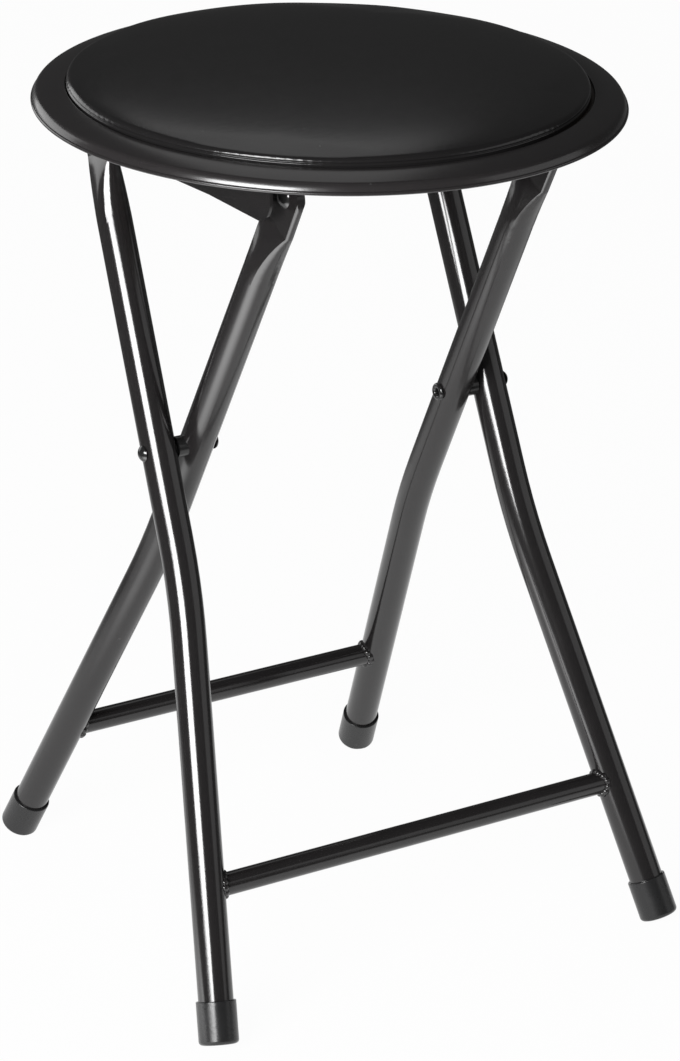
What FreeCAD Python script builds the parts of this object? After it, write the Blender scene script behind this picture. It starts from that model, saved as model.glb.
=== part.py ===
import FreeCAD, Part
import math
import os
import re

import Sketcher
from FreeCAD import Placement, Rotation, Vector

# Folding stool: two bent-tube frames crossed like scissors under a round padded seat.
# X is the scissor axis, the front of the stool faces -Y, Z is up and the floor is z = 0.
# The origin lies on the floor under the middle of the seat.
# The seat is hinged to the tops of the inner frame at the front, and hooks down
# over a rod between the tops of the outer frame at the back.

document = FreeCAD.newDocument("folding_stool")
sheet = document.addObject("Spreadsheet::Sheet", "Sizes")

DRIVING_SIZES = {
    # Scissor frames: lengths in millimetres, angles in degrees from the vertical
    "pivot_height": 272.6,
    "pivot_offset": -4.3,
    "hinge_height": 427.0,
    "outer_tilt": 25.35,
    "inner_tilt": 26.7,
    "outer_pivot_half": 100.2,
    "pivot_gap": 4.1,
    "leg_lean": 1.3,
    "outer_bend_drop": 72.0,
    "inner_bend_drop": 80.0,
    "outer_splay": 8.7,
    "inner_splay": 7.8,
    "bend_radius": 400.0,
    "tube_diameter": 18.0,
    "tube_wall": 1.0,
    # Pressed leg tops
    "flat_thickness": 4.5,
    "flat_edge": 1.4,
    "fold_drop": 17.5,
    "press_length": 36.0,
    "crown_angle": 35.0,
    # Stretchers
    "stretcher_diameter": 12.0,
    "stretcher_wall": 1.0,
    "stretcher_drop": 221.0,
    "weld_clearance": 0.02,
    # Foot caps
    "cap_diameter": 20.5,
    "cap_height": 22.0,
    "cap_floor": 3.0,
    "cap_edge": 2.0,
    "cap_mouth_edge": 0.5,
    "cap_clearance": 0.05,
    "floor_flat": 0.7,
    # Rivets, washers, spacers and the lock rod
    "rivet_diameter": 6.0,
    "rivet_bore": 3.6,
    "rivet_bore_depth": 5.0,
    "running_clearance": 0.05,
    "pivot_head_diameter": 8.4,
    "pivot_head_height": 2.2,
    "clinch_diameter": 9.6,
    "rivet_play": 0.3,
    "spacer_diameter": 11.0,
    "spacer_clearance": 0.35,
    "hinge_head_diameter": 11.0,
    "hinge_head_height": 2.2,
    "washer_diameter": 14.0,
    "washer_thickness": 0.8,
    "rod_diameter": 8.0,
    "rod_head_diameter": 11.5,
    "rod_head_height": 2.4,
    # Seat brackets
    "sheet_thickness": 1.5,
    "sheet_bend": 2.2,
    "bracket_nose": 7.0,
    "bracket_drop": 10.9,
    "bracket_corner": 12.0,
    "bracket_step": 50.7,
    "bracket_dip": 0.9,
    "flange_clearance": 6.0,
    "slot_clearance": 0.15,
    "slot_slant": 40.0,
    "hook_depth": 17.0,
    "hook_lip": 8.0,
    "hook_corner": 3.0,
    "screw_diameter": 4.0,
    "screw_head_diameter": 8.0,
    "screw_head_height": 2.2,
    "screw_grip": 4.5,
    "screw_clearance": 0.02,
    "screw_inset": 33.0,
    "screw_rear_inset": 14.0,
    # Seat
    "hinge_to_board": 16.0,
    "seat_radius": 150.0,
    "board_inset": 12.0,
    "board_thickness": 5.0,
    "board_clearance": 0.3,
    "rim_width": 17.5,
    "rim_rise": 2.0,
    "rim_fall": 1.4,
    "rim_edge": 1.0,
    "rim_dome_radius": 90.0,
    "rim_shoulder_inset": 4.7,
    "rim_shoulder_radius": 3.4,
    "rim_side_inset": 2.0,
    "rim_side_height": 5.0,
    "rim_wall": 1.4,
    "rim_lip": 1.0,
    "rim_lip_drop": 1.5,
    "rim_under_lip": 3.0,
    "cushion_groove": 1.1,
    "roll_height": 4.3,
    "roll_radius": 2.2,
    "crown_slope": 4.0,
    "cover_thickness": 1.2,
}

# Sizes that follow from the driving ones
DERIVED_SIZES = {
    "inner_pivot_half": "outer_pivot_half - tube_diameter - pivot_gap",
    "tube_radius": "tube_diameter / 2",
    "flat_width": "pi / 2 * tube_diameter + (1 - pi / 2) * flat_thickness",
    "rivet_hole": "rivet_diameter + 2 * running_clearance",
    "rod_hole": "rod_diameter + 2 * running_clearance",
    "cap_radius": "cap_diameter / 2",
    "board_bottom": "hinge_height + hinge_to_board",
    "board_top": "board_bottom + board_thickness",
    "slot_radius": "rod_diameter / 2 + slot_clearance",
    "clinch_roll": "(clinch_diameter - rivet_bore) / 4",
    "pivot_head_radius": "(pivot_head_diameter ^ 2 / 4 + pivot_head_height ^ 2) / (2 * pivot_head_height)",
    "hinge_head_radius": "(hinge_head_diameter ^ 2 / 4 + hinge_head_height ^ 2) / (2 * hinge_head_height)",
    "rod_head_radius": "(rod_head_diameter ^ 2 / 4 + rod_head_height ^ 2) / (2 * rod_head_height)",
    "screw_head_radius": "(screw_head_diameter ^ 2 / 4 + screw_head_height ^ 2) / (2 * screw_head_height)",
    "pivot_grip": "outer_pivot_half - inner_pivot_half + tube_diameter + 2 * rivet_play",
    "hinge_grip": "sheet_thickness + washer_thickness + flat_thickness",
    "board_radius": "seat_radius - board_inset",
    "rim_inner_radius": "seat_radius - rim_width",
    "rim_lip_bottom": "board_bottom - rim_lip_drop",
    "rim_channel_radius": "board_radius + board_clearance + rim_wall",
    "cushion_radius": "rim_inner_radius - cushion_groove",
    "cushion_shoulder": "cushion_radius - roll_radius * (1 - sin(crown_slope))",
    "roll_level": "board_top + roll_height",
    "shoulder_level": "roll_level + roll_radius * cos(crown_slope)",
    "crown_radius": "cushion_shoulder / sin(crown_slope)",
    "crown_level": "shoulder_level + cushion_shoulder * tan(crown_slope / 2)",
    "foam_radius": "cushion_radius - cover_thickness",
}
for frame in ("outer", "inner"):
    DERIVED_SIZES.update({
        f"{frame}_hinge_reach": f"(hinge_height - pivot_height) / cos({frame}_tilt)",
        f"{frame}_fold_reach": f"{frame}_hinge_reach - fold_drop",
        f"{frame}_neck_reach": f"{frame}_fold_reach - press_length",
        f"{frame}_flat_half": f"{frame}_pivot_half - {frame}_fold_reach * tan(leg_lean)",
        f"{frame}_neck_half": f"{frame}_pivot_half - {frame}_neck_reach * tan(leg_lean)",
        f"{frame}_bend_half": f"{frame}_pivot_half + {frame}_bend_drop * tan(leg_lean)",
        f"{frame}_bend_tangent": f"bend_radius * tan(({frame}_splay - leg_lean) / 2)",
        f"{frame}_foot_lean": f"acos(cos({frame}_tilt) * cos({frame}_splay))",
        f"{frame}_cap_lift": f"(cap_radius - cap_edge) * sin({frame}_foot_lean)"
                             f" + cap_edge * (1 - cos({frame}_foot_lean)) - floor_flat",
        f"{frame}_cap_reach": f"(pivot_height - {frame}_cap_lift) / cos({frame}_tilt)",
        f"{frame}_tube_reach": f"{frame}_cap_reach - cap_floor * cos({frame}_splay)",
        f"{frame}_stretcher_half": f"{frame}_bend_half"
                                   f" + (stretcher_drop - {frame}_bend_drop) * tan({frame}_splay)",
    })
DERIVED_SIZES.update({
    "hinge_setback": "pivot_offset - inner_hinge_reach * sin(inner_tilt)",
    "rod_setback": "pivot_offset + outer_hinge_reach * sin(outer_tilt)",
    "flange_inner_face": "inner_flat_half - flat_thickness / 2 - washer_thickness - sheet_thickness",
    "flange_outer_face": "outer_flat_half - flat_thickness / 2 - flange_clearance",
    "bracket_front": "hinge_setback - bracket_nose",
    "bracket_rear": "rod_setback + slot_radius + hook_lip",
    "bracket_bottom": "hinge_height - bracket_drop",
    "hook_bottom": "hinge_height - hook_depth",
    "bracket_middle": "(flange_inner_face + flange_outer_face) / 2",
})


def fill_sheet():
    """Give every size its own row: the name in column A and the value, under that alias, in column B."""
    rows = [(name, str(number)) for name, number in DRIVING_SIZES.items()]
    rows += [(name, "=" + formula) for name, formula in DERIVED_SIZES.items()]
    for row, (name, text) in enumerate(rows, start=1):
        sheet.set(f"A{row}", name)
        sheet.set(f"B{row}", text)
        sheet.setAlias(f"B{row}", name)
    document.recompute()


def bound(text):
    """Read every size named in an expression from the sheet."""
    return re.sub(r"\b[a-z]+(?:_[a-z]+)+\b", r"Sizes.\g<0>", text)


def value(text):
    """The number that an expression of sizes has now."""
    return float(sheet.evalExpression(bound(text)))


def bind(item, **expressions):
    """Tie properties of an object to expressions of sizes."""
    for name, text in expressions.items():
        item.setExpression(name, bound(text))


def new_body(label):
    body = document.addObject("PartDesign::Body", label)
    body.Label = label
    return body


def new_sketch(body, role, base=("0", "0", "0"), turn=None):
    """A sketch on one of the body's own planes, shifted to a base point and turned about an axis."""
    plane = next(item for item in body.Origin.OriginFeatures if item.Role == role)
    sketch = body.newObject("Sketcher::SketchObject", "Sketch")
    sketch.AttachmentSupport = [(plane, "")]
    sketch.MapMode = "FlatFace"
    rotation = Rotation(turn[0], value(turn[1])) if turn else Rotation()
    sketch.AttachmentOffset = Placement(Vector(*map(value, base)), rotation)
    for letter, text in zip("xyz", base):
        sketch.setExpression(f"AttachmentOffset.Base.{letter}", bound(text))
    return sketch


def fix_point(sketch, edge, end, corner):
    """Tie one end of an edge to two coordinates."""
    for kind, text in zip(("DistanceX", "DistanceY"), corner):
        index = sketch.addConstraint(Sketcher.Constraint(kind, -1, 1, edge, end, value(text)))
        sketch.setExpression(f"Constraints[{index}]", bound(text))


def draw(sketch, corners, closed=True):
    """Draw an outline through corners (x, y), tied to their expressions.

    A corner (x, y, radius, turn) starts an arc, which bends to the left where turn is 1
    and to the right where it is -1. The other corners start straight edges.
    """
    edges = []
    count = len(corners) if closed else len(corners) - 1
    for index in range(count):
        corner = corners[index]
        start = Vector(value(corner[0]), value(corner[1]), 0)
        after = corners[(index + 1) % len(corners)]
        end = Vector(value(after[0]), value(after[1]), 0)
        if len(corner) == 2:
            edge = sketch.addGeometry(Part.LineSegment(start, end))
            edges.append((edge, 1, 2))
            continue
        radius = value(corner[2])
        turn = corner[3]
        chord = end - start
        left = Vector(-chord.y, chord.x, 0).normalize()
        centre = (start + end) / 2 + left * turn * math.sqrt(radius ** 2 - chord.Length ** 2 / 4)
        first, last = (start, end) if turn > 0 else (end, start)
        angles = [math.atan2(point.y - centre.y, point.x - centre.x) for point in (first, last)]
        arc = Part.ArcOfCircle(Part.Circle(centre, Vector(0, 0, 1), radius), *angles)
        edge = sketch.addGeometry(arc)
        edges.append((edge, 1, 2) if turn > 0 else (edge, 2, 1))
        limit = sketch.addConstraint(Sketcher.Constraint("Radius", edge, radius))
        sketch.setExpression(f"Constraints[{limit}]", bound(corner[2]))
    for index, (edge, start, end) in enumerate(edges):
        fix_point(sketch, edge, start, corners[index])
        if index + 1 < len(edges) or closed:
            after = edges[(index + 1) % len(edges)]
            sketch.addConstraint(Sketcher.Constraint("Coincident", edge, end, after[0], after[1]))
        else:
            fix_point(sketch, edge, end, corners[-1])
    return sketch


def draw_circle(sketch, centre, diameter):
    point = Vector(value(centre[0]), value(centre[1]), 0)
    edge = sketch.addGeometry(Part.Circle(point, Vector(0, 0, 1), value(diameter) / 2))
    fix_point(sketch, edge, 3, centre)
    index = sketch.addConstraint(Sketcher.Constraint("Diameter", edge, value(diameter)))
    sketch.setExpression(f"Constraints[{index}]", bound(diameter))
    return sketch


def pad(body, sketch, length):
    feature = body.newObject("PartDesign::Pad", "Pad")
    feature.Profile = sketch
    bind(feature, Length=length)
    document.recompute()
    return feature


def pocket(body, sketch, length):
    """Cut a sketch into the body, along the sketch's normal, and make sure that it took something away."""
    before = body.Shape.Volume
    feature = body.newObject("PartDesign::Pocket", "Pocket")
    feature.Profile = sketch
    feature.Reversed = True
    bind(feature, Length=length)
    document.recompute()
    if body.Shape.Volume > before * (1 - 1e-7):
        raise RuntimeError(f"{body.Label}: a pocket cut nothing")
    return feature


def sweep(body, kind, profile, path):
    feature = body.newObject(kind, "Pipe")
    feature.Profile = profile
    feature.Spine = (path, [f"Edge{index + 1}" for index in range(path.GeometryCount)])
    document.recompute()
    return feature


def revolve(label, corners):
    """A body turned about its own Z axis from an outline of (radius, height) corners."""
    body = new_body(label)
    profile = draw(new_sketch(body, "XZ_Plane"), corners)
    feature = body.newObject("PartDesign::Revolution", "Revolution")
    feature.Profile = profile
    feature.ReferenceAxis = (profile, ["V_Axis"])
    feature.Angle = 360
    document.recompute()
    return body


def frame_placement(frame):
    """Where a frame's own plane stands: its origin on the pivot axis, its Z along the upper legs."""
    lean = value(f"{frame}_tilt") * (-1 if frame == "outer" else 1)
    return Placement(Vector(0, value("pivot_offset"), value("pivot_height")), Rotation(Vector(1, 0, 0), lean))


PRESS_STEPS = 3


def mirrored(source, label):
    """The left-hand twin of a right-hand piece."""
    twin = document.addObject("Part::Mirroring", label)
    twin.Label = label
    twin.Source = source
    twin.Normal = Vector(1, 0, 0)
    document.recompute()
    return twin


def blend(share, first, second):
    """An expression part of the way from a first one to a second one."""
    return f"({first} + {share} * ({second} - {first}))"


def pressed_section(body, frame, step):
    """An outline across a leg's pressed end, from the round tube at step 0 to the flat at the last step.

    The tube is squeezed by the square of the way along, so that the press leaves it smoothly
    and meets the flat in a crease. Each side bulges less and less, down to the straight flat.
    """
    way = step / PRESS_STEPS
    squeeze = way ** 2
    base = (
        blend(way, f"{frame}_neck_half", f"{frame}_flat_half"),
        "0",
        blend(way, f"{frame}_neck_reach", f"{frame}_fold_reach"),
    )
    sketch = new_sketch(body, "XY_Plane", base, (Vector(0, 1, 0), f"-leg_lean * {1 - way}"))
    side = blend(squeeze, "tube_radius * cos(crown_angle)", "flat_thickness / 2")
    end = blend(squeeze, "tube_radius * sin(crown_angle)", "(flat_width / 2 - flat_edge)")
    side_bulge = f"tube_radius * (1 - cos(crown_angle)) * {1 - squeeze}"
    end_bulge = blend(squeeze, "tube_radius * (1 - sin(crown_angle))", "flat_edge")
    side_arc = (f"({end} ^ 2 + ({side_bulge}) ^ 2) / (2 * {side_bulge})", 1) if squeeze < 1 else ()
    end_arc = (f"({side} ^ 2 + {end_bulge} ^ 2) / (2 * {end_bulge})", 1)
    return draw(sketch, [
        (side, f"-{end}", *side_arc),
        (side, end, *end_arc),
        (f"-{side}", end, *side_arc),
        (f"-{side}", f"-{end}", *end_arc),
    ])


def leg(frame, hinge_hole):
    """A bent tube whose top is pressed flat, folded to stand square to the hinge, rounded off and drilled."""
    body = new_body(f"{frame}_leg_right")
    path = draw(new_sketch(body, "XZ_Plane"), [
        (f"{frame}_neck_half", f"{frame}_neck_reach"),
        (f"{frame}_bend_half - {frame}_bend_tangent * sin(leg_lean)",
         f"{frame}_bend_tangent * cos(leg_lean) - {frame}_bend_drop", "bend_radius", 1),
        (f"{frame}_bend_half + {frame}_bend_tangent * sin({frame}_splay)",
         f"-{frame}_bend_drop - {frame}_bend_tangent * cos({frame}_splay)"),
        (f"{frame}_bend_half + ({frame}_tube_reach - {frame}_bend_drop) * tan({frame}_splay)",
         f"-{frame}_tube_reach"),
    ], closed=False)
    neck = (f"{frame}_neck_half", "0", f"{frame}_neck_reach")
    square = (Vector(0, 1, 0), "-leg_lean")
    outside = draw_circle(new_sketch(body, "XY_Plane", neck, square), ("0", "0"), "tube_diameter")
    sweep(body, "PartDesign::AdditivePipe", outside, path)
    sections = [pressed_section(body, frame, step) for step in range(PRESS_STEPS + 1)]
    flat_end = sections[-1]
    loft = body.newObject("PartDesign::AdditiveLoft", "Loft")
    loft.Profile = sections[0]
    loft.Sections = sections[1:]
    document.recompute()
    pad(body, flat_end, "fold_drop + flat_width / 2")
    inside = new_sketch(body, "XY_Plane", neck, square)
    draw_circle(inside, ("0", "0"), "tube_diameter - 2 * tube_wall")
    sweep(body, "PartDesign::SubtractivePipe", inside, path)
    hinge = f"{frame}_hinge_reach"
    drilling = new_sketch(body, "YZ_Plane")
    draw(drilling, [
        ("-flat_width", hinge),
        ("-flat_width / 2", hinge, "flat_width / 2", -1),
        ("0", f"{hinge} + flat_width / 2", "flat_width / 2", -1),
        ("flat_width / 2", hinge),
        ("flat_width", hinge),
        ("flat_width", f"{hinge} + flat_width"),
        ("-flat_width", f"{hinge} + flat_width"),
    ])
    draw_circle(drilling, ("0", hinge), hinge_hole)
    draw_circle(drilling, ("0", "0"), "rivet_hole")
    pocket(body, drilling, "outer_pivot_half + tube_diameter")
    body.Placement = frame_placement(frame)
    return body


def placed(item, *moves):
    """Set an object's place as a chain of placements."""
    place = Placement()
    for move in moves:
        place = place.multiply(move)
    item.Placement = place
    return item


def at(x="0", y="0", z="0"):
    return Placement(Vector(value(x), value(y), value(z)), Rotation())


def turned(axis, angle):
    return Placement(Vector(), Rotation(Vector(*axis), value(angle)))


ALONG_X = Placement(Vector(), Rotation(Vector(0, 1, 0), 90))
TOUCH = 1e-6


def cylinder(name, diameter, height, *moves):
    item = document.addObject("Part::Cylinder", name)
    bind(item, Radius=f"({diameter}) / 2", Height=height)
    return placed(item, *moves)


def cut(label, base, *tools):
    """Take tools away from a base, one after another. The last cut carries the label."""
    for tool in tools:
        item = document.addObject("Part::Cut", f"{label}_cut")
        item.Base = base
        item.Tool = tool
        base = item
    base.Label = label
    document.recompute()
    return base


def lower_run(frame, drop, side=1):
    """The placement of a point on a leg's lower run, with Z up along the tube's axis."""
    half = f"{side} * ({frame}_bend_half + ({drop} - {frame}_bend_drop) * tan({frame}_splay))"
    lean = turned((0, 1, 0), f"{-side} * {frame}_splay")
    return frame_placement(frame).multiply(at(half, "0", f"-({drop})")).multiply(lean)


def upper_run(frame):
    """The placement of the pivot on a right leg, with Z up along the tube's axis."""
    lean = turned((0, 1, 0), "-leg_lean")
    return frame_placement(frame).multiply(at(f"{frame}_pivot_half")).multiply(lean)


def foot_cap(frame, floor):
    """A push-on cap, square to the leg, with a rounded lower edge that is worn flat where it stands."""
    bore = "tube_diameter / 2 + cap_clearance"
    blank = revolve(f"{frame}_cap_blank", [
        ("0", "0"),
        ("cap_radius - cap_edge", "0", "cap_edge", 1),
        ("cap_radius", "cap_edge"),
        ("cap_radius", "cap_height - cap_mouth_edge", "cap_mouth_edge", 1),
        ("cap_radius - cap_mouth_edge", "cap_height"),
        (bore, "cap_height"),
        (bore, "cap_floor"),
        ("0", "cap_floor"),
    ])
    placed(blank, lower_run(frame, f"{frame}_cap_reach"))
    return cut(f"{frame}_foot_cap_right", blank, floor)


def stretcher(frame):
    """A cross tube whose ends are coped to the legs that they are welded to."""
    middle = [frame_placement(frame), at("0", "0", "-stretcher_drop")]
    half = f"{frame}_stretcher_half"
    tube = cylinder(f"{frame}_stretcher_tube", "stretcher_diameter", f"2 * {half}",
                    *middle, at(f"-{half}"), ALONG_X)
    bore = cylinder(f"{frame}_stretcher_bore", "stretcher_diameter - 2 * stretcher_wall", f"2 * {half}",
                    *middle, at(f"-{half}"), ALONG_X)
    copes = [
        cylinder(f"{frame}_stretcher_cope", "tube_diameter + 2 * weld_clearance", "4 * tube_diameter",
                 lower_run(frame, "stretcher_drop", side), at(z="-2 * tube_diameter"))
        for side in (1, -1)
    ]
    return cut(f"{frame}_stretcher", tube, bore, *copes)


def rivet(label, head, grip):
    """A tubular rivet along Z: a rolled clinch below zero, the shank through its grip and a domed head."""
    return revolve(label, [
        ("0", "rivet_bore_depth"),
        ("rivet_bore / 2", "rivet_bore_depth"),
        ("rivet_bore / 2", "0", "clinch_roll", 1),
        ("(rivet_bore + clinch_diameter) / 4", "-clinch_roll", "clinch_roll", 1),
        ("clinch_diameter / 2", "0"),
        ("rivet_diameter / 2", "0"),
        ("rivet_diameter / 2", grip),
        (f"{head}_head_diameter / 2", grip, f"{head}_head_radius", 1),
        ("0", f"{grip} + {head}_head_height"),
    ])


def pivot_rivet():
    item = rivet("pivot_rivet_right", "pivot", "pivot_grip")
    clinch = "inner_pivot_half - tube_diameter / 2 - rivet_play"
    return placed(item, at(clinch, "pivot_offset", "pivot_height"), ALONG_X)


def pivot_spacer():
    """The bush between two crossed legs: saddled on the inner one, flat and free of the outer one."""
    pivot = at("inner_pivot_half", "pivot_offset", "pivot_height")
    length = "outer_pivot_half - tube_diameter / 2 - spacer_clearance - inner_pivot_half"
    bush = cylinder("spacer_bush", "spacer_diameter", length, pivot, ALONG_X)
    hole = cylinder("spacer_hole", "rivet_hole", length, pivot, ALONG_X)
    saddle = cylinder("spacer_saddle", "tube_diameter + 2 * weld_clearance", "4 * tube_diameter",
                      upper_run("inner"), at(z="-2 * tube_diameter"))
    return cut("pivot_spacer_right", bush, hole, saddle)


def hinge_rivet():
    item = rivet("hinge_rivet_right", "hinge", "hinge_grip")
    return placed(item, at("flange_inner_face", "hinge_setback", "hinge_height"), ALONG_X)


def hinge_washer():
    item = revolve("hinge_washer_right", [
        ("rivet_hole / 2", "0"),
        ("washer_diameter / 2", "0"),
        ("washer_diameter / 2", "washer_thickness"),
        ("rivet_hole / 2", "washer_thickness"),
    ])
    return placed(item, at("flange_inner_face + sheet_thickness", "hinge_setback", "hinge_height"), ALONG_X)


def lock_rod():
    """The cross rod through the tops of the outer legs, peened over at both ends."""
    end = "outer_flat_half + flat_thickness / 2"
    item = revolve("lock_rod", [
        ("0", f"-({end} + rod_head_height)", "rod_head_radius", 1),
        ("rod_head_diameter / 2", f"-({end})"),
        ("rod_diameter / 2", f"-({end})"),
        ("rod_diameter / 2", end),
        ("rod_head_diameter / 2", end, "rod_head_radius", 1),
        ("0", f"{end} + rod_head_height"),
    ])
    return placed(item, at("0", "rod_setback", "hinge_height"), ALONG_X)


SCREW_PLACES = [
    "hinge_setback + screw_inset",
    "(hinge_setback + screw_inset + rod_setback - screw_rear_inset) / 2",
    "rod_setback - screw_rear_inset",
]


def bracket():
    """A pressed channel under the seat: hinged to the inner leg in front, hooked over the lock rod behind."""
    body = new_body("seat_bracket_right")
    slant_back = "rod_setback - slot_radius * cos(slot_slant)"
    slant_top = "hinge_height + slot_radius * sin(slot_slant)"
    mouth = f"{slant_back} - ({slant_top} - hook_bottom) * tan(slot_slant)"
    side = draw(new_sketch(body, "YZ_Plane", ("0", "0", "flange_inner_face")), [
        ("bracket_front", "bracket_bottom + bracket_corner", "bracket_corner", 1),
        ("bracket_front + bracket_corner", "bracket_bottom"),
        ("hinge_setback + bracket_step", "bracket_bottom - bracket_dip"),
        (mouth, "hook_bottom"),
        (slant_back, slant_top, "slot_radius", -1),
        ("rod_setback + slot_radius", "hinge_height"),
        ("rod_setback + slot_radius", "hook_bottom"),
        ("bracket_rear - hook_corner", "hook_bottom", "hook_corner", 1),
        ("bracket_rear", "hook_bottom + hook_corner"),
        ("bracket_rear", "board_bottom"),
        ("bracket_front", "board_bottom"),
    ])
    pad(body, side, "flange_outer_face - flange_inner_face")
    web = "board_bottom - sheet_thickness"
    inner_bend = "(sheet_bend - sheet_thickness)"
    near = "flange_inner_face + sheet_thickness"
    far = "flange_outer_face - sheet_thickness"
    channel = draw(new_sketch(body, "XZ_Plane", ("0", "0", "-(bracket_rear + sheet_thickness)")), [
        (near, "hook_bottom - sheet_thickness"),
        (far, "hook_bottom - sheet_thickness"),
        (far, f"{web} - {inner_bend}", inner_bend, 1),
        (f"{far} - {inner_bend}", web),
        (f"{near} + {inner_bend}", web, inner_bend, 1),
        (near, f"{web} - {inner_bend}"),
    ])
    pocket(body, channel, "bracket_rear - bracket_front + 2 * sheet_thickness")
    tip = body.Tip
    top = value("board_bottom")
    corners = [
        f"Edge{index}" for index, edge in enumerate(tip.Shape.Edges, start=1)
        if abs(edge.BoundBox.ZMin - top) < TOUCH and edge.BoundBox.XLength < TOUCH
    ]
    bends = body.newObject("PartDesign::Fillet", "Bends")
    bends.Base = (tip, corners)
    bind(bends, Radius="sheet_bend")
    document.recompute()
    hinge = draw_circle(new_sketch(body, "YZ_Plane", ("0", "0", "flange_inner_face - sheet_thickness")),
                        ("hinge_setback", "hinge_height"), "rivet_diameter + 2 * screw_clearance")
    pocket(body, hinge, "3 * sheet_thickness")
    holes = new_sketch(body, "XY_Plane", ("0", "0", "board_bottom - 2 * sheet_thickness"))
    for place in SCREW_PLACES:
        draw_circle(holes, ("bracket_middle", place), "screw_diameter + 2 * screw_clearance")
    pocket(body, holes, "3 * sheet_thickness")
    return body


def bracket_screws():
    """Three pan-head screws up through the bracket's web into the board."""
    shank = "sheet_thickness + screw_grip"
    screws = []
    for place in SCREW_PLACES:
        screw = revolve("bracket_screw", [
            ("0", "-screw_head_height", "screw_head_radius", 1),
            ("screw_head_diameter / 2", "0"),
            ("screw_diameter / 2", "0"),
            ("screw_diameter / 2", f"{shank} - screw_diameter / 2"),
            ("0", shank),
        ])
        screws.append(placed(screw, at("bracket_middle", place, "board_bottom - sheet_thickness")))
    group = document.addObject("Part::Compound", "bracket_screws_right")
    group.Label = "bracket_screws_right"
    group.Links = screws
    document.recompute()
    return group


def seat_board():
    """The round board under the padding, with blind holes for the bracket screws."""
    body = new_body("seat_board")
    disc = new_sketch(body, "XY_Plane", ("0", "0", "board_bottom"))
    draw_circle(disc, ("0", "0"), "2 * board_radius")
    pad(body, disc, "board_thickness")
    holes = new_sketch(body, "XY_Plane", ("0", "0", "board_bottom"))
    for side in ("", "-"):
        for place in SCREW_PLACES:
            draw_circle(holes, (f"{side}bracket_middle", place), "screw_diameter + 2 * screw_clearance")
    pocket(body, holes, "screw_grip + screw_clearance")
    return body


def seat_rim():
    """The edge ring: a top falling to a steep side with a beaded lip, hollow below, gripping the board."""
    lip_level = "rim_lip_bottom + rim_lip"
    top_level = "board_top + rim_rise"
    edge_level = f"{top_level} - rim_fall"
    side_level = "rim_lip_bottom + rim_side_height"
    return revolve("seat_rim", [
        ("board_radius - rim_under_lip", "board_bottom - rim_wall"),
        ("rim_channel_radius", "board_bottom - rim_wall"),
        ("rim_channel_radius", f"{edge_level} - rim_wall"),
        ("seat_radius - rim_shoulder_inset", f"{edge_level} - rim_wall"),
        ("seat_radius - rim_side_inset - rim_wall", side_level),
        ("seat_radius - 2 * rim_lip - rim_wall / 4", "rim_lip_bottom + 2 * rim_lip"),
        ("seat_radius - 2 * rim_lip", lip_level, "rim_lip", 1),
        ("seat_radius - rim_lip", "rim_lip_bottom", "rim_lip", 1),
        ("seat_radius", lip_level, "rim_lip", 1),
        ("seat_radius - rim_lip", "rim_lip_bottom + 2 * rim_lip"),
        ("seat_radius - rim_side_inset", side_level, "rim_shoulder_radius", 1),
        ("seat_radius - rim_shoulder_inset", edge_level, "rim_dome_radius", 1),
        ("rim_inner_radius + rim_edge", top_level, "rim_edge", 1),
        ("rim_inner_radius", f"{top_level} - rim_edge"),
        ("rim_inner_radius", "board_top"),
        ("board_radius + board_clearance", "board_top"),
        ("board_radius + board_clearance", "board_bottom"),
        ("board_radius - rim_under_lip", "board_bottom"),
    ])


def seat_foam():
    """The crowned foam disc on the board, with a rolled edge."""
    return revolve("seat_foam", [
        ("0", "board_top"),
        ("foam_radius", "board_top"),
        ("foam_radius", "roll_level", "roll_radius - cover_thickness", 1),
        ("cushion_shoulder", "shoulder_level - cover_thickness", "crown_radius", 1),
        ("0", "crown_level - cover_thickness"),
    ])


def seat_cover(foam):
    """The skin over the foam: up out of the groove, over the rolled edge and on to the crown."""
    skin = revolve("cover_blank", [
        ("0", "board_top"),
        ("cushion_radius", "board_top"),
        ("cushion_radius", "roll_level", "roll_radius", 1),
        ("cushion_shoulder", "shoulder_level", "crown_radius", 1),
        ("0", "crown_level"),
    ])
    return cut("seat_cover", skin, foam)


fill_sheet()
floor = document.addObject("Part::Box", "floor")
bind(floor, Length="4 * seat_radius", Width="4 * seat_radius", Height="cap_height")
placed(floor, at("-2 * seat_radius", "-2 * seat_radius", "-cap_height"))

right_pieces = [
    leg("outer", "rod_hole"),
    leg("inner", "rivet_hole"),
    foot_cap("outer", floor),
    foot_cap("inner", floor),
    pivot_rivet(),
    pivot_spacer(),
    bracket(),
    bracket_screws(),
    hinge_rivet(),
    hinge_washer(),
]
left_pieces = [mirrored(piece, piece.Label.replace("_right", "_left")) for piece in right_pieces]
foam = seat_foam()
middle_pieces = [
    stretcher("outer"),
    stretcher("inner"),
    lock_rod(),
    seat_board(),
    seat_rim(),
    foam,
    seat_cover(foam),
]
sub_parts = right_pieces + left_pieces + middle_pieces

document.recompute()
for item in document.Objects:
    if {"Invalid", "Error"} & set(item.State):
        raise RuntimeError(f"{item.Label} failed: {item.State}")
for item in sub_parts:
    if item.Shape.isNull() or not item.Shape.isValid():
        raise RuntimeError(f"{item.Label} has no sound shape")
os.makedirs("parts", exist_ok=True)
for item in sub_parts:
    item.Shape.exportStep(f"parts/{item.Label}.step")
    print(item.Label, len(item.Shape.Solids), "solids", round(item.Shape.Volume), "cubic millimetres")
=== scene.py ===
import math

import bpy
import numpy as np
from mathutils import Matrix, Vector


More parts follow.
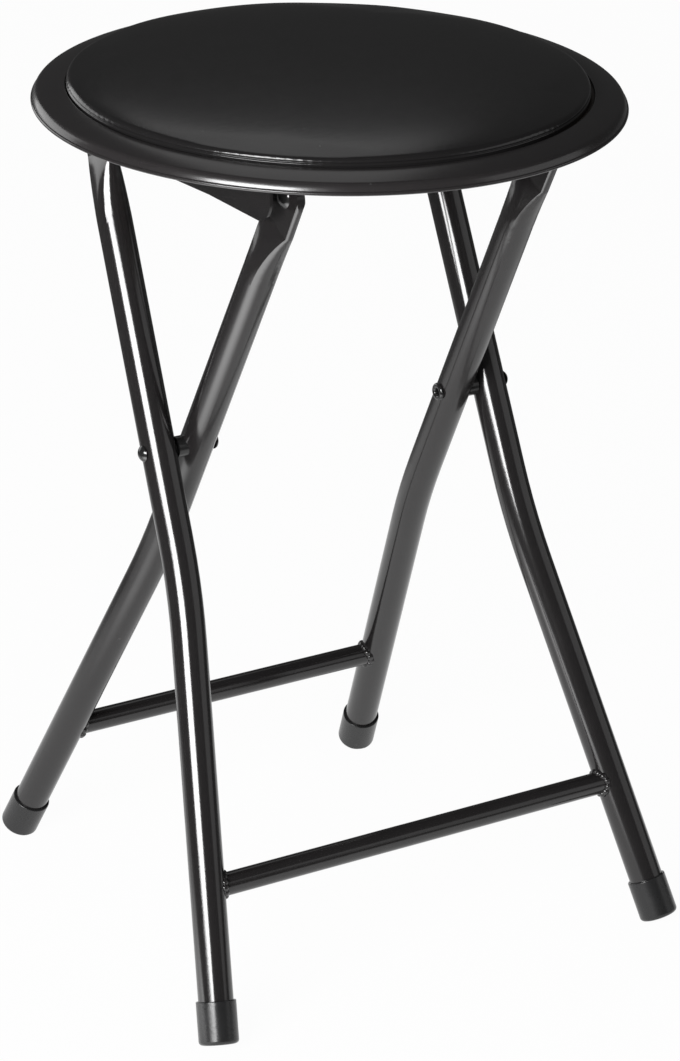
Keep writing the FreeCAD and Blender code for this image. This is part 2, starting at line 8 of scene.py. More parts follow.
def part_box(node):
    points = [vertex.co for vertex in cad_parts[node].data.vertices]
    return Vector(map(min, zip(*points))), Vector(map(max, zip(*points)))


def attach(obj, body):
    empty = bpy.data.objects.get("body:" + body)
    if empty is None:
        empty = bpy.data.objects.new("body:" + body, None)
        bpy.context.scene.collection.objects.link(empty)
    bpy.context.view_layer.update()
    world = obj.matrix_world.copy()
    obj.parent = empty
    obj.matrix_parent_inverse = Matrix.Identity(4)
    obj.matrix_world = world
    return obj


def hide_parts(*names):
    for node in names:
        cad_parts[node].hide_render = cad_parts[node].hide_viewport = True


# Folding stool with a round padded seat: black powder-coated tube, satin black rim, black leatherette.
# Everything is in metres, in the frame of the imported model: X along the scissor axis, front towards -Y, Z up.

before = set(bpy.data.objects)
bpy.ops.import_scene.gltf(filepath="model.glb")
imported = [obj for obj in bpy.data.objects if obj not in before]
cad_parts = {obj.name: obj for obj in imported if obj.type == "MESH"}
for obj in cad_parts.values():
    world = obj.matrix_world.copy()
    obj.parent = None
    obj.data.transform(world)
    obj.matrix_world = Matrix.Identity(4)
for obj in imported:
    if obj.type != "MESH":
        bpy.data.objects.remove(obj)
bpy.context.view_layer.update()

# Cushion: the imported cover's crown, rolled edge and wall
COVER_LOW, COVER_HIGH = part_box("seat_cover")
COVER_RADIUS = COVER_HIGH.x
BOARD_TOP, CROWN_TOP = COVER_LOW.z, COVER_HIGH.z
ROLL_RADIUS = 0.0022
ROLL_LEVEL = BOARD_TOP + 0.0043
EDGE_SLOPE = math.radians(8.9)
SHOULDER_RADIUS = COVER_RADIUS - ROLL_RADIUS * (1 - math.sin(EDGE_SLOPE))
SHOULDER_LEVEL = ROLL_LEVEL + ROLL_RADIUS * math.cos(EDGE_SLOPE)
PUFF, PUFF_POWER = 0.0016, 9
CROWN_SHARE, ROLL_SHARE = 0.64, 0.84
SEAM_LEVEL, SEAM_DEPTH, SEAM_REACH = BOARD_TOP + 0.0036, 0.00035, 0.0003
WELT_LEVEL, WELT_BULGE, WELT_REACH = BOARD_TOP + 0.0028, 0.0002, 0.0004
PUCKERS, PUCKER_DEPTH, PUCKER_RISE, PUCKER_REACH = 168, 0.00014, 0.03, 0.07
CUSHION_SHIFT = np.array([-0.0006, 0.00035, 0.0])
CUSHION_GRID = 253

# How the cover settles: the cloth's grid, pressure and stiffness, its steps, evening out and furthest move
CLOTH_GRID, CLOTH_PRESSURE, CLOTH_STIFFNESS, CLOTH_QUALITY = 85, 1.0, 4.0, 8
CLOTH_STEPS, CLOTH_ROUNDS, CLOTH_CAP = 20, 24, 0.0003

# Rim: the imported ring's reach, with a domed top that falls outwards from its inner edge
RIM_LOW, RIM_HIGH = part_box("seat_rim")
BOARD_LOW, BOARD_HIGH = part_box("seat_board")
RIM_RADIUS, RIM_BOTTOM, RIM_TOP = RIM_HIGH.x, RIM_LOW.z, RIM_HIGH.z
RIM_WIDTH, RIM_EDGE, RIM_LIP, RIM_WALL = 0.0175, 0.0008, 0.001, 0.0014
RIM_INNER_RADIUS = RIM_RADIUS - RIM_WIDTH
RIM_LIP_ROLL = np.radians([80.0, -180.0])
RIM_SLOPES = np.radians([6.0, 16.0, 62.0, 78.0])
RIM_STRETCHES = np.array([0.0130, 0.0029, 0.0026])
RIM_UNDER_LIP, RIM_BOARD_GAP, RIM_CEILING = 0.003, 0.0002, 0.55
RIM_SIDES, RIM_TOP_STEPS, RIM_LIP_STEPS, RIM_EDGE_STEPS = 288, 97, 27, 7
SHARP_ANGLE = math.radians(30.0)

# Tubes and welds
TUBE_RADIUS = 0.009
SPLAY = {"outer": math.radians(8.7), "inner": math.radians(7.8)}
TILT = {"outer": math.radians(-25.35), "inner": math.radians(26.7)}
WELD_RADIUS, WELD_RIPPLES = 0.0017, 13
WELD_RINGS, WELD_SECTION = 156, 14
WELD_PHASE = {1: 0.6, -1: 2.1}
WELD_LEAST, WELD_STOP_SHARE, WELD_DRIFT_SHARE, WELD_STOP_POWER = 0.72, 0.42, 0.14, 0.8

# Finishes: clouds, gloss patches and specks of a skin, the leatherette's grain, the board's fibres
CLOUD_SCALE, PATCH_SCALE, SPECK_REACH = 38.0, 95.0, 0.13
GRAIN_SCALE, GRAIN_DEPTH, GRAIN_CREASES = 1150.0, 0.00004, 0.6
GRAIN_WANDER, GRAIN_WANDER_SCALE = 0.0012, 420.0
FIBRE_SCALE, FIBRE_STRETCH, FIBRE_DEPTH = 620.0, (1.0, 0.22, 1.0), 0.00012
MIX_INPUTS, MIX_OUTPUT = (0, 6, 7), 2

# Camera: the photograph's place, aim and framing
CAMERA_PLACE = Vector((-1.0868, -1.7219, 1.0847))
CAMERA_AZIMUTH = math.radians(32.41)
CAMERA_ELEVATION = math.radians(-22.97)
CAMERA_ROLL = math.radians(1.34)
CAMERA_LENS = 143.62
CAMERA_SHIFT = (0.00845, -0.0257)

# Studio: each soft light's place, aim, width, height and radiance, the room's level and the floor
LIGHTS = {
    "left_box": ((-1.72, -1.02, 0.92), (0, 0, 0.35), 1.2, 0.62, 24.0),
    "right_panel": ((1.9, -1.5, 0.95), (0, 0, 0.35), 2.2, 1.3, 0.55),
    "rear_fill": ((-0.8, 2.3, 0.7), (0, 0, 0.3), 1.8, 1.2, 1.6),
    "back_panel": ((0.55, 1.0, 1.66), (0, 0, 0.46), 0.5, 1.25, 0.46),
}
ROOM_LEVEL = 0.06
FLOOR_HALF, FLOOR_DROP, FLOOR_COLOUR, FLOOR_WHITE_SHARE = 30.0, 0.0002, 0.9, 0.97
# The floor's painted reflection, seen only by glossy rays: white near the stool, painted dimmer further off
PAINTED_REFLECTION_REACH, PAINTED_REFLECTION_LEVEL = (0.35, 0.85), (1.0, 0.1)
# A painted pool of light on the floor towards the left box, seen only in reflections
PAINTED_POOL_PLACE, PAINTED_POOL_REACH, PAINTED_POOL_LEVEL = (-0.42, -0.17, 0.0), (0.05, 0.32), (4.0, 0.0)


def mesh_object(name, points, faces, smooth=True):
    """A new mesh object at the origin from an array of points and a list of face index arrays."""
    mesh = bpy.data.meshes.new(name)
    rows = [face for block in faces for face in block.tolist()]
    mesh.from_pydata(points.reshape(-1, 3).tolist(), [], rows)
    mesh.polygons.foreach_set("use_smooth", np.full(len(mesh.polygons), smooth))
    mesh.update()
    item = bpy.data.objects.new(name, mesh)
    bpy.context.scene.collection.objects.link(item)
    return item


def grid_faces(index, around=False, along=False):
    """Quads between neighbouring rows and columns of an index grid, closed across either way on request."""
    if along:
        index = np.vstack([index, index[:1]])
    if around:
        index = np.hstack([index, index[:, :1]])
    corners = (index[:-1, :-1], index[:-1, 1:], index[1:, 1:], index[1:, :-1])
    return np.stack([corner.ravel() for corner in corners], axis=1)


def finish_piece(item, body, material):
    """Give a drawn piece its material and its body."""
    item.data.materials.append(material)
    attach(item, body)
    return item


def put(tree, socket, given):
    """Link an output to a socket, or set a plain value on it."""
    if isinstance(given, bpy.types.NodeSocket):
        tree.links.new(given, socket)
    else:
        socket.default_value = given


def add(tree, kind, settings=None, **inputs):
    """A new node with its settings, and values or links on its inputs."""
    item = tree.nodes.new(kind)
    for name, setting in (settings or {}).items():
        setattr(item, name, setting)
    for name, given in inputs.items():
        label = name.replace("_", " ")
        put(tree, item.inputs[label if label in item.inputs else name], given)
    return item


def math_node(tree, operation, *given):
    """A sum, product or comparison of values and links."""
    item = add(tree, "ShaderNodeMath", {"operation": operation})
    for socket, value in zip(item.inputs, given):
        put(tree, socket, value)
    return item.outputs[0]


def vector_node(tree, operation, *given):
    """A vector sum, difference or length."""
    item = add(tree, "ShaderNodeVectorMath", {"operation": operation})
    for socket, value in zip(item.inputs, given):
        put(tree, socket, value)
    return item.outputs["Value" if operation == "LENGTH" else "Vector"]


def mix_colour(tree, factor, first, second):
    """The first colour at factor 0, the second at factor 1."""
    item = add(tree, "ShaderNodeMix", {"data_type": "RGBA"})
    for index, given in zip(MIX_INPUTS, (factor, first, second)):
        put(tree, item.inputs[index], given)
    return item.outputs[MIX_OUTPUT]


def feed_shader(tree, shader, colour, roughness, height, depth):
    """Colour, roughness and a bump from a height, into a material's shader."""
    put(tree, shader.inputs["Base Color"], colour)
    put(tree, shader.inputs["Roughness"], roughness)
    relief = add(tree, "ShaderNodeBump", Strength=1.0, Distance=depth, Height=height)
    put(tree, shader.inputs["Normal"], relief.outputs["Normal"])


def new_group(name, inputs, outputs):
    """An empty shader node group with named sockets."""
    tree = bpy.data.node_groups.new(name, "ShaderNodeTree")
    for direction, sockets in (("INPUT", inputs), ("OUTPUT", outputs)):
        for label, kind in sockets:
            tree.interface.new_socket(label, in_out=direction, socket_type=f"NodeSocket{kind}")
    return tree, tree.nodes.new("NodeGroupInput").outputs, tree.nodes.new("NodeGroupOutput").inputs


def build_skin_group():
    """Uneven finish of a moulded or painted skin: cloudy colour, patchy gloss and an orange-peel height."""
    tree, given, result = new_group(
        "uneven_skin",
        [("Colour", "Color"), ("Cloud Colour", "Color"), ("Roughness", "Float"), ("Patchiness", "Float"),
         ("Peel Scale", "Float")],
        [("Colour", "Color"), ("Roughness", "Float"), ("Height", "Float")])
    place = tree.nodes.new("ShaderNodeTexCoord").outputs["Object"]
    cloud = add(tree, "ShaderNodeTexNoise", Vector=place, Scale=CLOUD_SCALE, Detail=3.0).outputs["Fac"]
    tree.links.new(mix_colour(tree, cloud, given["Colour"], given["Cloud Colour"]), result["Colour"])
    patch = add(tree, "ShaderNodeTexNoise", Vector=place, Scale=PATCH_SCALE, Detail=4.0).outputs["Fac"]
    swing = math_node(tree, "MULTIPLY", math_node(tree, "SUBTRACT", patch, 0.5), given["Patchiness"])
    tree.links.new(math_node(tree, "ADD", given["Roughness"], swing), result["Roughness"])
    peel = add(tree, "ShaderNodeTexNoise", Vector=place, Scale=given["Peel Scale"], Detail=1.0)
    tree.links.new(peel.outputs["Fac"], result["Height"])
    return tree


def build_dust_group():
    """A mask of sparse fine specks: the middles of a few Voronoi cells."""
    tree, given, result = new_group(
        "fine_dust", [("Scale", "Float"), ("Amount", "Float")], [("Mask", "Float")])
    place = tree.nodes.new("ShaderNodeTexCoord").outputs["Object"]
    cells = add(tree, "ShaderNodeTexVoronoi", Vector=place, Scale=given["Scale"])
    near = math_node(tree, "LESS_THAN", cells.outputs["Distance"], SPECK_REACH)
    tint = add(tree, "ShaderNodeSeparateColor", Color=cells.outputs["Color"]).outputs["Red"]
    chosen = math_node(tree, "LESS_THAN", tint, given["Amount"])
    tree.links.new(math_node(tree, "MULTIPLY", near, chosen), result["Mask"])
    return tree


SKIN = build_skin_group()
DUST = build_dust_group()


def new_material(name, **constants):
    """A material with one Principled shader, whose plain values are set on its own sockets."""
    material = bpy.data.materials.new(name)
    material.use_nodes = True
    tree = material.node_tree
    shader = tree.nodes["Principled BSDF"]
    for label, given in constants.items():
        shader.inputs[label.replace("_", " ")].default_value = given
    return material, tree, shader


def skin_material(name, colour, cloud, roughness, patchiness, peel_scale, peel_depth, dust=0.0, **constants):
    """A skin with uneven colour and gloss, a fine relief and, on request, a little dust."""
    material, tree, shader = new_material(name, **constants)
    skin = add(tree, "ShaderNodeGroup", {"node_tree": SKIN}, Colour=(*colour, 1.0),
               Cloud_Colour=(*cloud, 1.0), Roughness=roughness, Patchiness=patchiness, Peel_Scale=peel_scale)
    shade = skin.outputs["Colour"]
    if dust:
        specks = add(tree, "ShaderNodeGroup", {"node_tree": DUST}, Scale=230.0, Amount=dust)
        shade = mix_colour(tree, specks.outputs["Mask"], shade, (0.05, 0.05, 0.05, 1.0))
    feed_shader(tree, shader, shade, skin.outputs["Roughness"], skin.outputs["Height"], peel_depth)
    return material


def leatherette():
    """Black coated cloth: fine pebbled grain from Voronoi cells, soft sheen, a little dust."""
    material, tree, shader = new_material("black_leatherette", IOR=1.5)
    place = tree.nodes.new("ShaderNodeTexCoord").outputs["Object"]
    wander = add(tree, "ShaderNodeTexNoise", Vector=place, Scale=GRAIN_WANDER_SCALE, Detail=2.0)
    shift = add(tree, "ShaderNodeVectorMath", {"operation": "SCALE"}, Vector=wander.outputs["Color"],
                Scale=GRAIN_WANDER)
    bent = vector_node(tree, "ADD", place, shift.outputs[0])
    cells = add(tree, "ShaderNodeTexVoronoi", {"feature": "SMOOTH_F1"}, Vector=bent, Scale=GRAIN_SCALE,
                Smoothness=0.6)
    skin = add(tree, "ShaderNodeGroup", {"node_tree": SKIN}, Colour=(0.012, 0.0114, 0.0116, 1.0),
               Cloud_Colour=(0.015, 0.0143, 0.0146, 1.0), Roughness=0.18, Patchiness=0.05, Peel_Scale=260.0)
    specks = add(tree, "ShaderNodeGroup", {"node_tree": DUST}, Scale=210.0, Amount=0.02)
    shade = mix_colour(tree, specks.outputs["Mask"], skin.outputs["Colour"], (0.06, 0.06, 0.06, 1.0))
    creases = math_node(tree, "MULTIPLY", skin.outputs["Height"], GRAIN_CREASES)
    grain = math_node(tree, "MULTIPLY_ADD", cells.outputs["Distance"], -1.0, creases)
    feed_shader(tree, shader, shade, skin.outputs["Roughness"], grain, GRAIN_DEPTH)
    return material


def hardboard():
    """The underside board: dark stained fibreboard with short pressed fibres."""
    material, tree, shader = new_material("stained_hardboard", IOR=1.45)
    place = tree.nodes.new("ShaderNodeTexCoord").outputs["Object"]
    stretched = add(tree, "ShaderNodeMapping", Vector=place, Scale=FIBRE_STRETCH).outputs[0]
    fibres = add(tree, "ShaderNodeTexNoise", Vector=stretched, Scale=FIBRE_SCALE, Detail=5.0).outputs["Fac"]
    skin = add(tree, "ShaderNodeGroup", {"node_tree": SKIN}, Colour=(0.030, 0.024, 0.020, 1.0),
               Cloud_Colour=(0.046, 0.037, 0.030, 1.0), Roughness=0.62, Patchiness=0.15, Peel_Scale=900.0)
    shade = mix_colour(tree, fibres, skin.outputs["Colour"], (0.075, 0.058, 0.045, 1.0))
    feed_shader(tree, shader, shade, skin.outputs["Roughness"], fibres, FIBRE_DEPTH)
    return material


MATERIALS = {
    "frame_paint": skin_material(
        "black_powder_coat", colour=(0.0125, 0.0115, 0.0117), cloud=(0.0175, 0.0162, 0.0165), roughness=0.15,
        patchiness=0.05, peel_scale=420.0, peel_depth=0.000008, dust=0.012, IOR=1.58),
    "bracket_paint": skin_material(
        "black_sheet_paint", colour=(0.009, 0.0084, 0.0086), cloud=(0.014, 0.013, 0.0133), roughness=0.2,
        patchiness=0.10, peel_scale=520.0, peel_depth=0.00002, IOR=1.55),
    "rivet_paint": skin_material(
        "painted_rivet", colour=(0.009, 0.009, 0.009), cloud=(0.016, 0.016, 0.016), roughness=0.17,
        patchiness=0.12, peel_scale=800.0, peel_depth=0.00002, IOR=1.58),
    "spacer_plastic": skin_material(
        "black_nylon", colour=(0.010, 0.010, 0.010), cloud=(0.015, 0.015, 0.015), roughness=0.2,
        patchiness=0.08, peel_scale=700.0, peel_depth=0.00002, IOR=1.53),
    "foot_cap": skin_material(
        "black_cap_plastic", colour=(0.013, 0.013, 0.0135), cloud=(0.019, 0.019, 0.0195), roughness=0.27,
        patchiness=0.12, peel_scale=620.0, peel_depth=0.00003, dust=0.03, IOR=1.5),
    "screw_steel": skin_material(
        "zinc_plated_steel", colour=(0.52, 0.51, 0.48), cloud=(0.62, 0.61, 0.58), roughness=0.32,
        patchiness=0.16, peel_scale=900.0, peel_depth=0.00002, Metallic=1.0),
    "seat_rim": skin_material(
        "satin_black_rim", colour=(0.020, 0.0182, 0.0187), cloud=(0.026, 0.0238, 0.0243), roughness=0.21,
        patchiness=0.06, peel_scale=520.0, peel_depth=0.00001, dust=0.02, IOR=1.62),
    "seat_cover": leatherette(),
    "seat_board": hardboard(),
}
MATERIALS["seat_foam"] = MATERIALS["seat_cover"]
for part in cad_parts.values():
    slot = part.material_slots[0]
    slot.material = MATERIALS[slot.material.name.split(".")[0]]


def cover_profile(way):
    """Radius and height along the cover, from the crown at way 0 over the rolled edge to the board at way 1.

    The crown is a parabola in the radius with a high power that turns it down towards the edge, the roll
    an arc of a circle from the edge's slope to upright, and the wall a straight drop with a narrow seam
    pulled in over a slight welt, both Gaussian in the height.
    """
    out = np.clip(way / CROWN_SHARE, 0.0, 1.0)
    turn = np.clip((way - CROWN_SHARE) / (ROLL_SHARE - CROWN_SHARE), 0.0, 1.0)
    drop = np.clip((way - ROLL_SHARE) / (1.0 - ROLL_SHARE), 0.0, 1.0)
    lean = EDGE_SLOPE + (math.pi / 2 - EDGE_SLOPE) * turn
    on_crown = way < CROWN_SHARE
    radius = np.where(on_crown, SHOULDER_RADIUS * out, COVER_RADIUS - ROLL_RADIUS * (1 - np.sin(lean)))
    crown = CROWN_TOP - (CROWN_TOP - SHOULDER_LEVEL - PUFF) * out**2 - PUFF * out**PUFF_POWER
    wall = ROLL_LEVEL + ROLL_RADIUS * np.cos(lean) - (ROLL_LEVEL - BOARD_TOP) * drop
    level = np.where(on_crown, crown, wall)
    seam = SEAM_DEPTH * np.exp(-((level - SEAM_LEVEL) / SEAM_REACH) ** 2)
    welt = WELT_BULGE * np.exp(-((level - WELT_LEVEL) / WELT_REACH) ** 2)
    return np.where(on_crown, radius, radius - seam + welt), level


def disc_grid(count):
    """Way out and angle of each point of a square grid, whose square rings become evenly spread circles."""
    line = np.linspace(-1.0, 1.0, count)
    across, along = np.meshgrid(line, line)
    wide = np.abs(across) > np.abs(along)
    radius = np.where(wide, across, along)
    other = np.where(wide, along, across)
    share = np.divide(other, radius, out=np.zeros_like(other), where=radius != 0)
    angle = np.where(wide, np.pi / 4 * share, np.pi / 2 - np.pi / 4 * share)
    return np.abs(radius), np.arctan2(radius * np.sin(angle), radius * np.cos(angle))


def border_of(index):
    """The indices round the edge of a square grid, in order."""
    return np.concatenate([index[0, :-1], index[:-1, -1], index[-1, :0:-1], index[:0:-1, 0]])


def calm(move, rounds):
    """Even out a grid of movements: each point takes the mean of its neighbours, and the edge rests."""
    for _ in range(rounds):
        inner = (move[:-2, 1:-1] + move[2:, 1:-1] + move[1:-1, :-2] + move[1:-1, 2:]) / 4
        move = np.pad(inner, ((1, 1), (1, 1), (0, 0)))
    return move


def finer(grid, count):
    """A square grid of values at more points, by straight lines between its own."""
    old, new = np.linspace(-1.0, 1.0, len(grid)), np.linspace(-1.0, 1.0, count)
    for axis in (0, 1):
        grid = np.apply_along_axis(lambda line: np.interp(new, old, line), axis, grid)
    return grid


def cover_points(count):
    """A square grid of points on the cover, with their way out and their angle."""
    way, angle = disc_grid(count)
    radius, level = cover_profile(way)
    return np.stack([radius * np.cos(angle), radius * np.sin(angle), level], axis=-1), way, angle


def swell():
    """How the cover moves as it settles over its padding: cloth under light pressure, held along its edge.

    Only the long waves of the movement are kept, and no point moves further than the cap.
    """
    points = cover_points(CLOTH_GRID)[0]
    index = np.arange(CLOTH_GRID**2).reshape(CLOTH_GRID, CLOTH_GRID)
    blank = mesh_object("cover_blank", points, [grid_faces(index)])
    group = blank.vertex_groups.new(name="held")
    group.add(border_of(index).tolist(), 1.0, "REPLACE")
    cloth = blank.modifiers.new("Cloth", "CLOTH")
    cloth.settings.quality = CLOTH_QUALITY
    cloth.settings.vertex_group_mass = "held"
    cloth.settings.use_pressure = True
    cloth.settings.uniform_pressure_force = CLOTH_PRESSURE
    cloth.settings.effector_weights.gravity = 0.0
    cloth.settings.bending_stiffness = CLOTH_STIFFNESS
    cloth.collision_settings.use_collision = False
    cloth.point_cache.frame_start, cloth.point_cache.frame_end = 1, CLOTH_STEPS
    for step in range(1, CLOTH_STEPS + 1):
        bpy.context.scene.frame_set(step)
    shape = blank.evaluated_get(bpy.context.evaluated_depsgraph_get()).data
    settled = np.empty(len(shape.vertices) * 3)
    shape.vertices.foreach_get("co", settled)
    bpy.context.scene.frame_set(1)
    bpy.data.objects.remove(blank)
    move = calm(settled.reshape(points.shape) - points, CLOTH_ROUNDS)
    length = np.linalg.norm(move, axis=-1, keepdims=True)
    return move * np.minimum(1.0, CLOTH_CAP / np.maximum(length, 1e-9))


def seat_cushion():
    """The padded cover: a crowned disc with a rolled edge, puckered where it is drawn down, closed below.

    The puckers pull the rolled edge in by a cosine of the angle, with their line and depth wandering.
    """
    points, way, angle = cover_points(CUSHION_GRID)
    points = points + finer(swell(), CUSHION_GRID)
    wander = 0.9 * np.sin(3 * angle + 0.4) + 0.6 * np.sin(7 * angle + 1.9)
    depth = PUCKER_DEPTH * (0.55 + 0.45 * np.sin(5 * angle + 0.8) * np.sin(11 * angle + 2.0))
    near_roll = np.exp(-(((way - ROLL_SHARE + PUCKER_RISE) / PUCKER_REACH) ** 2))
    pull = near_roll * depth * (0.5 + 0.5 * np.cos(PUCKERS * angle + wander))
    points[..., 0] -= pull * np.cos(angle)
    points[..., 1] -= pull * np.sin(angle)
    points = points + CUSHION_SHIFT
    index = np.arange(CUSHION_GRID**2).reshape(CUSHION_GRID, CUSHION_GRID)
    edge = border_of(index)
    base = np.array([[0.0, 0.0, BOARD_TOP]]) + CUSHION_SHIFT
    fan = np.stack([edge, np.roll(edge, -1), np.full(len(edge), index.size)], axis=1)
    points = np.vstack([points.reshape(-1, 3), base])
    return mesh_object("seat_cushion", points, [grid_faces(index), fan[:, ::-1]])


def rim_profile():
    """Radius and level of points once round the rim's section.

    From the inner edge the slope grows steadily along three stretches: the domed top, the shoulder and the
    steep side. Its sines and cosines, added up, give the fall and the way out, stretched to end on the
    round lip. Below, the ring is hollow, grips the board outside and underneath, and closes at the groove.
    """
    along = np.linspace(0.0, 1.0, RIM_TOP_STEPS)
    knots = np.concatenate([[0.0], np.cumsum(RIM_STRETCHES) / np.sum(RIM_STRETCHES)])
    slope = np.interp((along[1:] + along[:-1]) / 2, knots, RIM_SLOPES)
    out, fall = np.cumsum(np.cos(slope)), np.cumsum(np.sin(slope))
    start, lip_level = RIM_INNER_RADIUS + RIM_EDGE, RIM_BOTTOM + RIM_LIP
    roll = np.linspace(*RIM_LIP_ROLL, RIM_LIP_STEPS)
    lip = np.stack([RIM_RADIUS + RIM_LIP * (np.cos(roll) - 1), lip_level + RIM_LIP * np.sin(roll)], axis=1)
    (end_radius, end_level), out, fall = lip[0], out / out[-1], fall / fall[-1]
    top = np.stack([start + (end_radius - start) * out, RIM_TOP - (RIM_TOP - end_level) * fall], axis=1)
    ceiling = RIM_BOTTOM + RIM_CEILING * (RIM_TOP - RIM_BOTTOM)
    board_side, board_under = BOARD_HIGH.x + RIM_BOARD_GAP, BOARD_LOW.z
    under = np.array([
        (RIM_RADIUS - 2 * RIM_LIP, lip_level + RIM_LIP),
        (RIM_RADIUS - 3 * RIM_LIP, ceiling),
        (board_side + RIM_WALL, ceiling),
        (board_side + RIM_WALL, board_under - RIM_WALL),
        (BOARD_HIGH.x - RIM_UNDER_LIP, board_under - RIM_WALL),
        (BOARD_HIGH.x - RIM_UNDER_LIP, board_under),
        (board_side, board_under),
        (board_side, BOARD_TOP),
        (RIM_INNER_RADIUS, BOARD_TOP),
    ])
    quarter = np.linspace(np.pi, np.pi / 2, RIM_EDGE_STEPS)[:-1]
    edge = np.stack([start + RIM_EDGE * np.cos(quarter), RIM_TOP + RIM_EDGE * (np.sin(quarter) - 1)], axis=1)
    return np.vstack([[(start, RIM_TOP)], top[:-1], lip, under, edge])


def domed_rim():
    """The edge ring: its section carried round the seat's axis."""
    section = rim_profile()
    turn = np.linspace(0.0, 2 * np.pi, RIM_SIDES, endpoint=False)
    radius, level = section[:, 0, None], section[:, 1, None] + 0 * turn
    points = np.stack([radius * np.cos(turn), radius * np.sin(turn), level], axis=-1)
    index = np.arange(level.size).reshape(level.shape)
    item = mesh_object("domed_rim", points, [grid_faces(index, around=True, along=True)[:, ::-1]])
    item.data.set_sharp_from_angle(angle=SHARP_ANGLE)
    return item


def weld_bead(family, side):
    """A lumpy fillet weld round one end of a stretcher.

    It follows the line where the stretcher's surface meets the leg's: at angle v round the stretcher, the
    point (cos v, sin v) of its circle is carried along X until it lies one tube radius from the leg's axis.
    A circle is carried along that line, swelling and shrinking with the welder's stops.
    """
    low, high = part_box(f"{family}_stretcher")
    radius = (high.y - low.y) / 2
    reach = math.sqrt(TUBE_RADIUS**2 - radius**2) / math.cos(SPLAY[family])
    half = high.x + reach
    v = np.linspace(0, 2 * np.pi, WELD_RINGS, endpoint=False)
    depth, rise = radius * np.cos(v), radius * np.sin(v)
    back = np.sqrt(TUBE_RADIUS**2 - depth**2) / math.cos(SPLAY[family])
    near = half - back - rise * math.tan(SPLAY[family])
    line = np.stack([side * near, depth, rise], axis=-1)
    ahead = np.roll(line, -1, axis=0) - np.roll(line, 1, axis=0)
    ahead /= np.linalg.norm(ahead, axis=1, keepdims=True)
    outward = np.stack([np.full(WELD_RINGS, -side), np.cos(v), np.sin(v)], axis=-1)
    outward -= ahead * np.sum(outward * ahead, axis=1, keepdims=True)
    outward /= np.linalg.norm(outward, axis=1, keepdims=True)
    aside = np.cross(ahead, outward)
    phase = WELD_PHASE[side]
    stops = WELD_STOP_SHARE * np.abs(np.sin(WELD_RIPPLES / 2 * v + phase)) ** WELD_STOP_POWER
    size = WELD_RADIUS * (WELD_LEAST + stops + WELD_DRIFT_SHARE * np.sin(3 * v + 2 * phase))
    roll = np.linspace(0, 2 * np.pi, WELD_SECTION, endpoint=False)[None, :, None]
    circle = np.cos(roll) * outward[:, None, :] + np.sin(roll) * aside[:, None, :]
    points = line[:, None, :] + circle * size[:, None, None]
    cosine, sine = math.cos(TILT[family]), math.sin(TILT[family])
    flat_y, flat_z = points[..., 1].copy(), points[..., 2].copy()
    points[..., 1] = (low.y + high.y) / 2 + cosine * flat_y - sine * flat_z
    points[..., 2] = (low.z + high.z) / 2 + sine * flat_y + cosine * flat_z
    index = np.arange(WELD_RINGS * WELD_SECTION).reshape(WELD_RINGS, WELD_SECTION)
    faces = grid_faces(index, around=True, along=True)
    name = f"{family}_weld_{'right' if side > 0 else 'left'}"
    return mesh_object(name, points, [faces if side > 0 else faces[:, ::-1]])


cushion = finish_piece(seat_cushion(), "seat", MATERIALS["seat_cover"])
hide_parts("seat_cover", "seat_foam")
rim = finish_piece(domed_rim(), "seat", MATERIALS["seat_rim"])
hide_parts("seat_rim")
for family in ("outer", "inner"):
    for side in (1, -1):
        finish_piece(weld_bead(family, side), f"{family}_frame", MATERIALS["frame_paint"])


def soft_box(name, place, aim, width, height, radiance):
    """A rectangular studio light of even radiance, turned to face a point."""
    light = bpy.data.lights.new(name, "AREA")
    light.shape = "RECTANGLE"
    light.size, light.size_y = width, height
    light.energy = radiance * math.pi * width * height
    item = bpy.data.objects.new(name, light)
    item.location = place
    item.rotation_euler = (Vector(aim) - Vector(place)).to_track_quat("-Z", "Y").to_euler()
    bpy.context.scene.collection.objects.link(item)


def studio():
    """White floor, dim room, a bright box at the left, and panels at the right, behind and high behind."""
    for name, setting in LIGHTS.items():
        soft_box(name, *setting)
    world = bpy.data.worlds.new("studio_room")
    world.use_nodes = True
    background = world.node_tree.nodes["Background"]
    background.inputs["Color"].default_value = (ROOM_LEVEL, ROOM_LEVEL, ROOM_LEVEL, 1.0)
    bpy.context.scene.world = world
    corners = FLOOR_HALF * np.array([[-1, -1, 0], [1, -1, 0], [1, 1, 0], [-1, 1, 0]])
    floor = mesh_object("floor", corners, [np.array([[0, 1, 2, 3]])])
    floor.location.z = -FLOOR_DROP
    floor.data.materials.append(floor_material())


def fade(tree, distance, reach, level):
    """A smooth change from one level to another over a reach of distances."""
    return add(tree, "ShaderNodeMapRange", {"interpolation_type": "SMOOTHSTEP"}, Value=distance,
               From_Min=reach[0], From_Max=reach[1], To_Min=level[0], To_Max=level[1]).outputs[0]


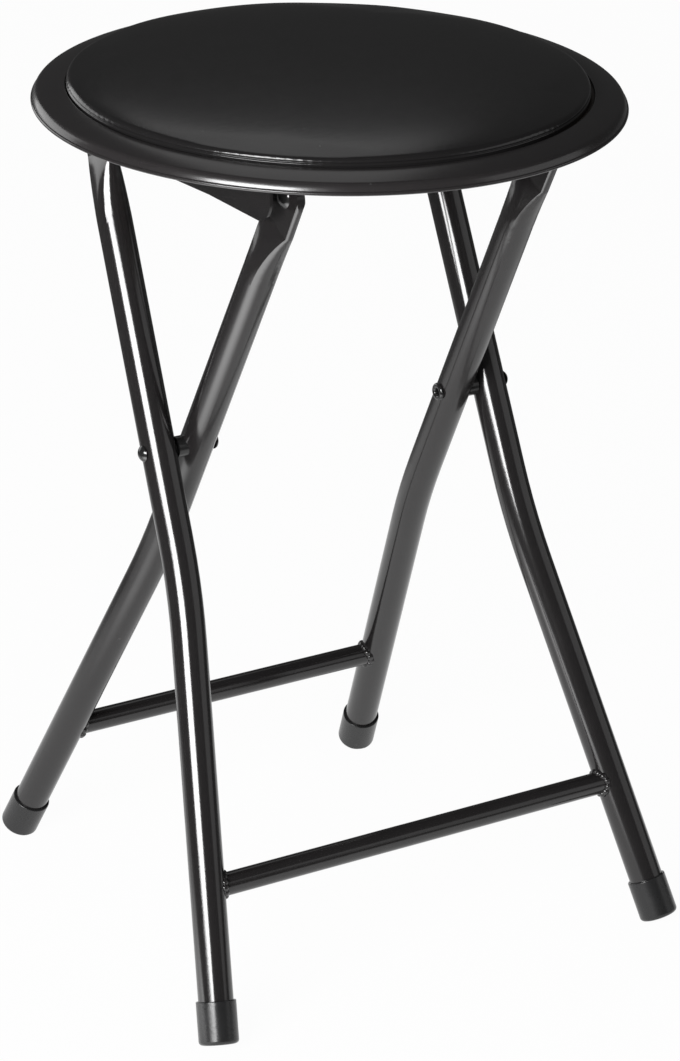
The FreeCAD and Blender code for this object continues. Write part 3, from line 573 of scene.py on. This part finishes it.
def floor_material():
    """A pale floor that looks white to the eye and keeps a soft shadow.

    Glossy rays see painted light: white near the stool, a painted pool towards the left box, painted dim
    further off.
    """
    material = bpy.data.materials.new("white_floor")
    material.use_nodes = True
    tree = material.node_tree
    tree.nodes.remove(tree.nodes["Principled BSDF"])
    seen = tree.nodes.new("ShaderNodeLightPath").outputs
    place = tree.nodes.new("ShaderNodeTexCoord").outputs["Object"]
    # painted reflection level: white near the stool, dim further off
    near = fade(tree, vector_node(tree, "LENGTH", place), PAINTED_REFLECTION_REACH, PAINTED_REFLECTION_LEVEL)
    # painted pool of light towards the left box, emitted only to glossy rays
    offset = vector_node(tree, "SUBTRACT", place, PAINTED_POOL_PLACE)
    bright = fade(tree, vector_node(tree, "LENGTH", offset), PAINTED_POOL_REACH, PAINTED_POOL_LEVEL)
    mirrored = math_node(tree, "MULTIPLY", seen["Is Glossy Ray"], math_node(tree, "ADD", near, bright))
    direct = math_node(tree, "MAXIMUM", seen["Is Camera Ray"], seen["Is Transmission Ray"])
    watched = math_node(tree, "MAXIMUM", direct, seen["Is Glossy Ray"])
    share = math_node(tree, "MULTIPLY", watched, FLOOR_WHITE_SHARE)
    matt = add(tree, "ShaderNodeBsdfDiffuse", Color=(FLOOR_COLOUR, FLOOR_COLOUR, FLOOR_COLOUR, 1.0))
    strength = math_node(tree, "MAXIMUM", direct, mirrored)
    white = add(tree, "ShaderNodeEmission", Color=(1.0, 1.0, 1.0, 1.0), Strength=strength)
    blend = add(tree, "ShaderNodeMixShader")
    for socket, given in zip(blend.inputs, (share, matt.outputs[0], white.outputs[0])):
        put(tree, socket, given)
    put(tree, tree.nodes["Material Output"].inputs["Surface"], blend.outputs[0])
    return material


def camera():
    """The photograph's camera, turned by azimuth, elevation and roll."""
    flat, rise = math.cos(CAMERA_ELEVATION), math.sin(CAMERA_ELEVATION)
    ahead = Vector((math.sin(CAMERA_AZIMUTH) * flat, math.cos(CAMERA_AZIMUTH) * flat, rise))
    level = ahead.cross(Vector((0, 0, 1))).normalized()
    upright = level.cross(ahead)
    right = level * math.cos(CAMERA_ROLL) + upright * math.sin(CAMERA_ROLL)
    up = upright * math.cos(CAMERA_ROLL) - level * math.sin(CAMERA_ROLL)
    data = bpy.data.cameras.new("camera")
    data.lens = CAMERA_LENS
    data.shift_x, data.shift_y = CAMERA_SHIFT
    item = bpy.data.objects.new("camera", data)
    turn = Matrix((right, up, -ahead)).transposed().to_4x4()
    item.matrix_world = Matrix.Translation(CAMERA_PLACE) @ turn
    bpy.context.scene.collection.objects.link(item)
    bpy.context.scene.camera = item


studio()
camera()
bpy.context.scene.view_settings.view_transform = "Standard"
